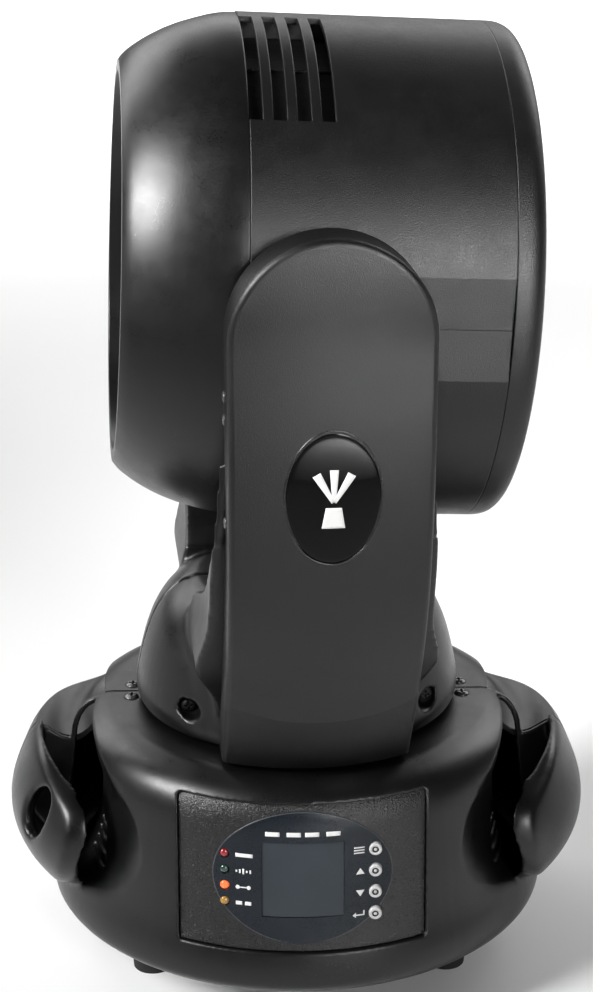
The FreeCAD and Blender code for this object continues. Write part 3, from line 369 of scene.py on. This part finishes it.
def disc_rows(rings, steps, place_at):
    """A round patch: rings from the middle out, each point put by place_at(share, angle)."""
    verts = [place_at(0.0, 0.0)]
    for ring in range(1, rings + 1):
        for step in range(steps):
            verts.append(place_at(ring / rings, 2 * math.pi * step / steps))
    faces = [(0, 1 + step, 1 + (step + 1) % steps) for step in range(steps)]
    faces += [tuple(reversed(face)) for face in grid_faces(rings, steps, closed=True, start=1)]
    return verts, faces


def merge(parts):
    """Several (points, faces) as one."""
    verts, faces = [], []
    for some_verts, some_faces in parts:
        start = len(verts)
        verts += some_verts
        faces += [tuple(index + start for index in face) for face in some_faces]
    return verts, faces


def patch(corners, across=6, up=6):
    """A flat four-cornered patch as a small grid of (x, z) points and its faces."""
    (ax, az), (bx, bz), (cx, cz), (dx, dz) = corners
    points = []
    for row in range(up + 1):
        v = row / up
        for column in range(across + 1):
            u = column / across
            points.append(((ax * (1 - u) + bx * u) * (1 - v) + (dx * (1 - u) + cx * u) * v,
                           (az * (1 - u) + bz * u) * (1 - v) + (dz * (1 - u) + cz * u) * v))
    return points, grid_faces(up + 1, across + 1)


def bar(x0, x1, z0, z1):
    """An upright rectangle as a patch."""
    return patch([(x0, z0), (x1, z0), (x1, z1), (x0, z1)])


def dot(x, z, radius):
    """A round spot as a patch."""
    return disc_rows(3, 20, lambda t, a: (x + radius * t * math.cos(a),
                                          z + radius * t * math.sin(a)))


def laid_on(marks, surface):
    """Flat marks laid on a surface given as y = surface(x, z)."""
    verts, faces = merge(marks)
    return [(x, surface(x, z), z) for x, z in verts], faces


# ---- head: what shows through the vents, and the lenses -------------------------------------
# The duct's radii and its front and back ends, in millimetres, and how far round it reaches.
LINER_RADII = (104.5, 103.0)
LINER_ENDS = (36.0, -12.0)
LINER_ARC = 104
LINER_STEPS = 28
# Ribs: degrees from the top, and the outer radius in millimetres.
RIBS = ((-52, 112.6), (-24, 106.0), (0, 112.6), (24, 106.0), (52, 112.6))
RIB_FOOT = 104.4
RIB_ENDS = (35.0, -11.0)
RIB_HALF = 0.0045
# The lenses: their plane, and each ring's count and radius.
LENS_FACE = 72.0
LENS_RINGS = ((6, 21.0), (12, 45.0), (18, 69.0))
LENS_STEPS = 36
# Radius and height above the plane of a lens and of the bezel round it.
LENS_OUTLINE = [(8.9, -6.0), (8.9, 1.0), (8.6, 1.5), (7.6, 1.9), (7.5, 1.3), (6.2, 2.3),
                (6.1, 1.7), (4.6, 2.9), (4.5, 2.3), (3.0, 3.2), (1.4, 3.45), (0.3, 3.5)]
BEZEL_OUTLINE = [(9.0, -0.6), (10.6, -0.6), (10.6, 0.35), (10.2, 0.75), (9.5, 0.8), (9.0, 0.5)]


def vent_liner():
    """A dark inner duct behind the vents, with thin ribs across it."""
    parts = []
    steps = LINER_STEPS
    for side in (0, math.pi):
        verts = []
        for radius in LINER_RADII:
            for front in LINER_ENDS:
                for step in range(steps + 1):
                    angle = side + math.radians(LINER_ARC * (step / steps - 0.5))
                    verts.append((-front, radius * math.sin(angle), radius * math.cos(angle)))
        count = steps + 1
        faces = []
        for step in range(steps):
            a, b = step, step + 1
            faces.append((a, b, count + b, count + a))
            faces.append((2 * count + a, 3 * count + a, 3 * count + b, 2 * count + b))
            faces.append((a, 2 * count + a, 2 * count + b, b))
            faces.append((count + a, count + b, 3 * count + b, 3 * count + a))
        faces.append((0, count, 3 * count, 2 * count))
        faces.append((steps, 2 * count + steps, 3 * count + steps, count + steps))
        parts.append((verts, faces))
        for degrees, top in RIBS:
            angle = side + math.radians(degrees)
            ring = []
            for radius in (RIB_FOOT, top):
                for front in RIB_ENDS:
                    for lean in (-RIB_HALF, RIB_HALF):
                        ring.append((-front, radius * math.sin(angle + lean),
                                     radius * math.cos(angle + lean)))
            parts.append((ring, [(0, 1, 3, 2), (4, 6, 7, 5), (0, 4, 5, 1), (2, 3, 7, 6),
                                 (0, 2, 6, 4), (1, 5, 7, 3)]))
    verts, faces = merge(parts)
    piece("vent_liner", verts, faces, MATERIALS["dark_plastic"], "head",
          turn=IN_HEAD, smooth=False)


def lens_places():
    """The middle of each lens, sideways and up from the head's axis."""
    for count, radius in LENS_RINGS:
        for step in range(count):
            angle = 2 * math.pi * step / count
            yield radius * math.cos(angle), radius * math.sin(angle)


def lens_pieces():
    """Stepped glass lenses in dark bezels."""
    glass, bezels = [], []
    solid = lathe(LENS_OUTLINE, LENS_STEPS)
    ring = ring_lathe(BEZEL_OUTLINE, LENS_STEPS)
    for y, z in lens_places():
        for (verts, faces), into in ((solid, glass), (ring, bezels)):
            into.append(([(-LENS_FACE - v[2], y + v[0], z + v[1]) for v in verts],
                         [tuple(reversed(face)) for face in faces]))
    verts, faces = merge(glass)
    piece("lens_glass", verts, faces, MATERIALS["optic"], "head", ["lens_array"],
          IN_HEAD)
    verts, faces = merge(bezels)
    piece("lens_bezels", verts, faces, MATERIALS["lens_rim"], "head",
          turn=IN_HEAD)


# ---- yoke: badges ---------------------------------------------------------------------------
MARK_LIFT = 0.04
DOME_LIFT = 1.35
DOME_POWER = 0.55
BADGE_STEPS = 72
# The rim's section: out from the badge's edge, and out from the arm.
RIM_SECTION = [(0.6, -0.2), (0.4, 0.45), (0.0, 0.6), (-0.4, 0.45), (-0.55, 0.0)]
# The mark. Lamp body: half width and height at its low and top ends. Rays: how far each leans
# in radians, their corners as (reach, half width), and where they start below the middle.
LAMP_LOW, LAMP_TOP = (5.0, -13.0), (3.4, -3.5)
RAY_LEANS = (-0.52, 0.0, 0.52)
RAY_CORNERS = ((0.5, -0.8), (0.5, 0.8), (15.0, 1.9), (15.0, -1.9))
RAY_ROOT = -1.5


def badge_dome(t):
    """How far the dome stands out, from its middle (t = 0) to its edge (t = 1)."""
    return DOME_LIFT * (1 - t ** 2) ** DOME_POWER + 0.05


def badge_surface(x, z, lift=0.0):
    """Where the dome's face is at a place, and a little in front of it."""
    t = min(1.0, math.hypot(x / BADGE_HALF, (z - BADGE_Z) / BADGE_TALL))
    return -(arm_y(x, z) + badge_dome(t) + lift)


def badge(near):
    """A glossy domed badge with a thin rim and a plain lamp-and-rays mark."""
    turn = IN_YOKE if near else IN_YOKE @ Matrix.Rotation(math.pi, 4, "Z")
    where = "near" if near else "far"

    def on_badge(t, angle):
        x = BADGE_HALF * t * math.cos(angle)
        z = BADGE_Z + BADGE_TALL * t * math.sin(angle)
        return x, badge_surface(x, z), z

    verts, faces = disc_rows(18, BADGE_STEPS, on_badge)
    piece("badge_dome_" + where, verts, faces, MATERIALS["badge_dome"], "yoke",
          ["badge_" + where], turn, thick=0.9)
    rim = []
    for out, lift in RIM_SECTION:
        for step in range(BADGE_STEPS):
            angle = 2 * math.pi * step / BADGE_STEPS
            x = (BADGE_HALF + out) * math.cos(angle)
            z = BADGE_Z + (BADGE_TALL + out) * math.sin(angle)
            rim.append((x, -(arm_y(x, z) + lift), z))
    piece("badge_rim_" + where, rim, grid_faces(len(RIM_SECTION), BADGE_STEPS, closed=True),
          MATERIALS["rim_black"], "yoke", (), turn, thick=0.3)
    (low_half, low_z), (top_half, top_z) = LAMP_LOW, LAMP_TOP
    marks = [patch([(-low_half, BADGE_Z + low_z), (low_half, BADGE_Z + low_z),
                    (top_half, BADGE_Z + top_z), (-top_half, BADGE_Z + top_z)], 8, 8)]
    for lean in RAY_LEANS:
        along = (math.sin(lean), math.cos(lean))
        side = (along[1], -along[0])
        corners = []
        for reach, half in RAY_CORNERS:
            corners.append((along[0] * reach + side[0] * half,
                            BADGE_Z + RAY_ROOT + along[1] * reach + side[1] * half))
        marks.append(patch(corners, 4, 10))
    verts, faces = laid_on(marks, lambda x, z: badge_surface(x, z, MARK_LIFT))
    piece("badge_mark_" + where, verts, faces, MATERIALS["print_white"], "yoke", (),
          turn, thick=MARK_THICK)


# ---- base: control panel --------------------------------------------------------------------
TITLE_LEFTS = (-17.3, -7.5, 0.9, 10.7)
TITLE_WIDE = 6.6
TITLE_LOW, TITLE_TOP = 103.6, 105.7
# From a lamp's or a button's middle to the sign beside it.
SIGN_GAP = 5.0


def lamp_signs(left):
    """One plain sign beside each status lamp: a bar, a wave, a link and two bars."""
    bar_z, wave_z, link_z, pair_z = LED_HEIGHTS
    signs = [bar(left, left + 8.0, bar_z - 0.9, bar_z + 0.9)]
    for step in range(5):
        start = left + 1.6 * step
        tall = 0.5 + 0.4 * (step % 3)
        signs.append(bar(start, start + 0.8, wave_z - tall, wave_z + tall))
    signs += [dot(left + 1.0, link_z, 1.0), dot(left + 6.0, link_z, 1.0),
              bar(left + 2.0, left + 5.0, link_z - 0.3, link_z + 0.3),
              bar(left, left + 3.0, pair_z - 0.9, pair_z + 0.9),
              bar(left + 4.2, left + 7.2, pair_z - 0.9, pair_z + 0.9)]
    return signs


def panel_marks():
    """White printed marks: plain signs in place of words."""
    marks = [bar(left, left + TITLE_WIDE, TITLE_LOW, TITLE_TOP) for left in TITLE_LEFTS]
    marks += lamp_signs(LED_X + SIGN_GAP)
    menu, up, down, enter = BUTTON_HEIGHTS
    right = BUTTON_X - SIGN_GAP
    for lift in (-1.3, 0, 1.3):
        marks.append(bar(right - 5, right, menu + lift - 0.3, menu + lift + 0.3))
    marks.append(patch([(right - 4, up - 1.3), (right, up - 1.3), (right - 1.9, up + 1.6),
                        (right - 2.1, up + 1.6)]))
    marks.append(patch([(right - 2.1, down - 1.6), (right - 1.9, down - 1.6), (right, down + 1.3),
                        (right - 4, down + 1.3)]))
    marks += [bar(right - 4.0, right, enter - 0.8, enter - 0.2),
              bar(right - 0.6, right, enter - 0.2, enter + 1.6),
              patch([(right - 5.6, enter - 0.55), (right - 4.0, enter - 1.8),
                     (right - 4.0, enter + 0.8), (right - 5.6, enter - 0.45)])]
    verts, faces = laid_on(marks, lambda x, z: film_y(x, z, 0.03))
    piece("panel_marks", verts, faces, MATERIALS["print_white"], "base",
          thick=MARK_THICK)


# The border's section: in from the film's edge, and out from its face. The face is read a
# little inside the edge, where the film still is.
EDGE_SECTION = ((0.0, -0.45), (0.05, 0.04), (0.35, 0.05), (0.42, 0.0))
EDGE_STEPS = 96
FILM_IN = 0.993


def overlay_edge():
    """The film's thin pale border."""
    verts = []
    for shrink, lift in EDGE_SECTION:
        for step in range(EDGE_STEPS):
            angle = 2 * math.pi * step / EDGE_STEPS
            x = (OVERLAY_HALF - shrink) * math.cos(angle)
            z = OVERLAY_Z + (OVERLAY_TALL - shrink) * math.sin(angle)
            verts.append((x, film_y(x * FILM_IN, OVERLAY_Z + (z - OVERLAY_Z) * FILM_IN, lift), z))
    faces = grid_faces(len(EDGE_SECTION), EDGE_STEPS, closed=True)
    piece("overlay_edge", verts, faces, MATERIALS["film_edge"], "base",
          thick=MARK_THICK)


# Radius and height of a status lamp, and of a button's cap.
LAMP_OUTLINE = [(2.15, -4.0), (2.15, 0.0), (2.0, 0.5), (1.6, 0.95), (1.0, 1.25), (0.4, 1.38)]
CAP_OUTLINE = [(3.0, -6.0), (3.0, 0.7), (2.85, 1.0), (2.6, 1.1), (1.75, 1.1), (1.55, 0.95),
               (1.45, 0.1), (0.95, 0.1), (0.85, 0.75), (0.6, 0.95)]
LAMP_STEPS, CAP_STEPS = 28, 32
CAP_STANDS = 1.1
LAMP_SINK = 0.3
GROOVE_FIRST, GROOVE_LAST = 5, 7
FACE_FRONT = Matrix.Rotation(math.pi / 2, 4, "X")


def at(x, y, z):
    """A move to a place given in millimetres."""
    return Matrix.Translation((x * MM, y * MM, z * MM))


def status_lamps():
    """Four small domed lenses in a column. The first one stands for the CAD node."""
    names = ("red", "green", "orange", "amber")
    for index, (name, z) in enumerate(zip(names, LED_HEIGHTS)):
        verts, faces = lathe(LAMP_OUTLINE, LAMP_STEPS)
        turn = at(LED_X, panel_y(LED_X, z, PANEL_SINK) + LAMP_SINK, z) @ FACE_FRONT
        piece("status_lamp_" + name, verts, faces, MATERIALS["lamp_" + name], "base",
              ["status_leds"] if index == 0 else (), turn)


def push_button(name, z):
    """A white ring with a sunken dark groove and a small bright middle."""
    verts, faces = lathe(CAP_OUTLINE, CAP_STEPS)
    picks = [int(GROOVE_FIRST <= index // CAP_STEPS <= GROOVE_LAST) for index in range(len(faces))]
    tip = panel_y(BUTTON_X, z, PANEL_SINK) - CAP_STANDS
    piece(name + "_button_cap", verts, faces, MATERIALS["button_cap"], name + "_button",
          [name + "_button"], at(BUTTON_X, tip, z) @ FACE_FRONT,
          also=(MATERIALS["dark_plastic"],), picks=picks)


# ---- moulded covers with soft edges ---------------------------------------------------------
# The yoke's dome and the handles' bulges: radius and height, in millimetres.
DOME_PROFILE = [(78.5, 128.3), (80, 133), (79.4, 142), (75.8, 158), (69, 175), (57.5, 187.5),
                (50, 190.5)]
WEB_SIDE = [(126, 43.9), (145, 44.2), (157, 46.2), (166, 50.6), (174, 54.6), (180, 55.8),
            (187, 54.6), (196, 52.2)]
WEB_BLEND = 9.0
EAR_X = 38.7
EAR_PROFILE = [(62, 30), (76, 30.5), (86, 38), (97.3, 50), (103.8, 61), (106.3, 73),
               (105.3, 82), (102.8, 90), (98.6, 100), (94.5, 107.5), (90, 111.5), (62, 113)]
EAR_WALL = 7.0
FAR = 99.0


def web_corner(point):
    """How far a point is from the inner corner where an arm's web meets the dome."""
    flat = IN_YOKE.inverted() @ point / MM
    x, y, z = abs(flat.x), abs(flat.y), flat.z
    if not 128.5 < z < 190.0:
        return FAR
    radius = between(DOME_PROFILE, z, 1, 0)
    half = between(WEB_SIDE, z, 0, 1)
    corner = math.sqrt(max(0.0, radius * radius - half * half))
    return math.hypot(x - half, y - corner)


def handle_depth(point):
    """Below 1 on the free wall of a side handle, and large elsewhere."""
    x, y, z = abs(point.x) / MM, point.y / MM, point.z / MM
    if y > -7.0 or x < 84.0 or not 36.0 < z < 113.5:
        return FAR
    radius = between(EAR_PROFILE, z, 1, 0)
    inside = radius - math.hypot(x - EAR_X, y)
    return 0.0 if -1.5 < inside < EAR_WALL + 1.2 else FAR


def softened(name, node, body, slot, voxel, blends):
    """A finer copy of a moulding, with rounded edges and blended corners."""
    mesh = frame["nodes"][node].data.copy()
    item = bpy.data.objects.new(name, mesh)
    bpy.context.scene.collection.objects.link(item)
    weld = item.modifiers.new("weld", "WELD")
    weld.merge_threshold = 0.00001
    remesh = item.modifiers.new("remesh", "REMESH")
    remesh.mode = "VOXEL"
    remesh.voxel_size = voxel
    bpy.context.view_layer.update()
    graph = bpy.context.evaluated_depsgraph_get()
    done = bpy.data.meshes.new_from_object(item.evaluated_get(graph))
    item.modifiers.clear()
    item.data = done
    done.name = name
    work = bmesh.new()
    work.from_mesh(done)
    for measure, reach, rounds in blends:
        chosen = [v for v in work.verts if measure(v.co) < reach]
        for _ in range(rounds):
            bmesh.ops.smooth_vert(work, verts=chosen, factor=0.5, use_axis_x=True,
                                  use_axis_y=True, use_axis_z=True)
    work.to_mesh(done)
    work.free()
    done.materials.clear()
    done.materials.append(MATERIALS[slot])
    done.shade_smooth()
    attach(item, body)
    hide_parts(node)


def everywhere(point):
    """A measure that takes in every point."""
    return 0.0


# ---- floor, light and camera ----------------------------------------------------------------
ROOM = 0.05
FLOOR_HALF = 40.0
# The floor's own glow: nothing near the object, and almost white beyond a few metres.
GLOW_FROM, GLOW_TO, GLOW = 1.4, 4.2, 0.85
# Name, place, what it faces, width and height, brightness and spread in degrees.
SOFT_BOXES = (
    ("behind_left", (-2.6, 3.2, 2.3), (0, 2.2, 0), (2.6, 2.6), 1.7, 100),
    ("behind_right", (2.6, 3.2, 2.3), (0, 2.2, 0), (2.6, 2.6), 1.7, 100),
    ("behind_far", (0.0, 5.0, 2.6), (0, 4.6, 0), (5.0, 3.5), 2.0, 180),
    ("floor_front", (0.50, -1.60, 1.5), (0.50, -1.60, 0), (0.75, 0.7), 24.0, 40),
    ("front_right", (0.68, -1.45, 0.92), (0, 0.3, 0.60), (0.5, 0.85), 2.6, 45),
    ("left", (-1.5, -0.6, 1.35), (0.1, 0, 0.50), (0.8, 0.9), 4.5, 50),
)
# The camera: distance from the object, height, turn and dip, focal length in pixels.
CAMERA_AWAY = 0.966
CAMERA_HIGH = 0.5687
CAMERA_TURN = math.radians(1.5)
CAMERA_DIP = 0.338
FOCAL_PIXELS = 2100.0
FRAME_TALL = 992.0
SENSOR = 36.0


def make_floor():
    """A pale floor that runs out into white far from the object."""
    mesh = bpy.data.meshes.new("studio_floor")
    grid = bmesh.new()
    bmesh.ops.create_grid(grid, x_segments=4, y_segments=4, size=FLOOR_HALF)
    grid.to_mesh(mesh)
    grid.free()
    floor = bpy.data.objects.new("studio_floor", mesh)
    bpy.context.scene.collection.objects.link(floor)
    nodes = Nodes("pale_floor")
    where = place(nodes)
    tint = nodes.add("ShaderNodeMix", data_type="RGBA")
    tint.inputs["A"].default_value = (0.86, 0.86, 0.86, 1)
    tint.inputs["B"].default_value = (0.90, 0.90, 0.90, 1)
    nodes.link(noise(nodes, where, 3.0), tint.inputs["Factor"])
    nodes.link(tint.outputs["Result"], nodes.shader.inputs["Base Color"])
    nodes.shader.inputs["Roughness"].default_value = 0.7
    away = nodes.add("ShaderNodeVectorMath", operation="LENGTH")
    nodes.link(where, away.inputs[0])
    glow = ramp_between(nodes, away.outputs["Value"], 0.0, GLOW, GLOW_FROM, GLOW_TO)
    nodes.link(glow, nodes.shader.inputs["Emission Strength"])
    nodes.shader.inputs["Emission Color"].default_value = (1, 1, 1, 1)
    mesh.materials.append(nodes.material)


def soft_light(name, where, aim, size, glow, spread):
    """A soft box: where it stands, what it faces, its size and how bright its face is."""
    lamp = bpy.data.lights.new(name, "AREA")
    lamp.shape = "RECTANGLE"
    lamp.size, lamp.size_y = size
    lamp.energy = glow * math.pi * size[0] * size[1]
    lamp.spread = math.radians(spread)
    holder = bpy.data.objects.new(name, lamp)
    bpy.context.scene.collection.objects.link(holder)
    holder.location = where
    holder.rotation_mode = "QUATERNION"
    holder.rotation_quaternion = (Vector(aim) - Vector(where)).to_track_quat("-Z", "Y")
    holder.visible_camera = False


def make_world():
    """A dim room, with white around it where it is seen directly."""
    world = bpy.data.worlds.new("studio")
    bpy.context.scene.world = world
    world.use_nodes = True
    tree = world.node_tree
    back = tree.nodes["Background"]
    path = tree.nodes.new("ShaderNodeLightPath")
    tint = tree.nodes.new("ShaderNodeMix")
    tint.data_type = "RGBA"
    tint.inputs["A"].default_value = (ROOM, ROOM, ROOM, 1)
    tint.inputs["B"].default_value = (1, 1, 1, 1)
    tree.links.new(path.outputs["Is Camera Ray"], tint.inputs["Factor"])
    tree.links.new(tint.outputs["Result"], back.inputs["Color"])
    bpy.context.scene.view_settings.view_transform = "Standard"


def make_camera():
    """The photo's viewpoint: in front, a little above and looking down."""
    data = bpy.data.cameras.new("camera")
    camera = bpy.data.objects.new("camera", data)
    bpy.context.scene.collection.objects.link(camera)
    camera.location = (-CAMERA_AWAY * math.sin(CAMERA_TURN),
                       -CAMERA_AWAY * math.cos(CAMERA_TURN), CAMERA_HIGH)
    look = Vector((math.sin(CAMERA_TURN) * math.cos(CAMERA_DIP),
                   math.cos(CAMERA_TURN) * math.cos(CAMERA_DIP), -math.sin(CAMERA_DIP)))
    camera.rotation_mode = "QUATERNION"
    camera.rotation_quaternion = look.to_track_quat("-Z", "Y")
    data.sensor_width = SENSOR
    data.lens = FOCAL_PIXELS * SENSOR / FRAME_TALL
    data.clip_start = 0.01
    data.clip_end = 50.0
    bpy.context.scene.camera = camera


for side in ("near", "far"):
    softened("yoke_cover_" + side + "_moulding", "yoke_cover_" + side, "yoke",
             SLOT_OF["yoke_cover_" + side], 0.0012,
             [(web_corner, WEB_BLEND, 40), (everywhere, 1.0, 3)])
softened("base_front_moulding", "base_front_shell", "base", SLOT_OF["base_front_shell"], 0.0010,
         [(handle_depth, 1.0, 26), (everywhere, 1.0, 1)])
vent_liner()
lens_pieces()
badge(True)
badge(False)
panel_marks()
overlay_edge()
status_lamps()
for button_name, button_z in zip(("menu", "up", "down", "enter"), BUTTON_HEIGHTS):
    push_button(button_name, button_z)
make_floor()
make_world()
for box in SOFT_BOXES:
    soft_light(*box)
make_camera()
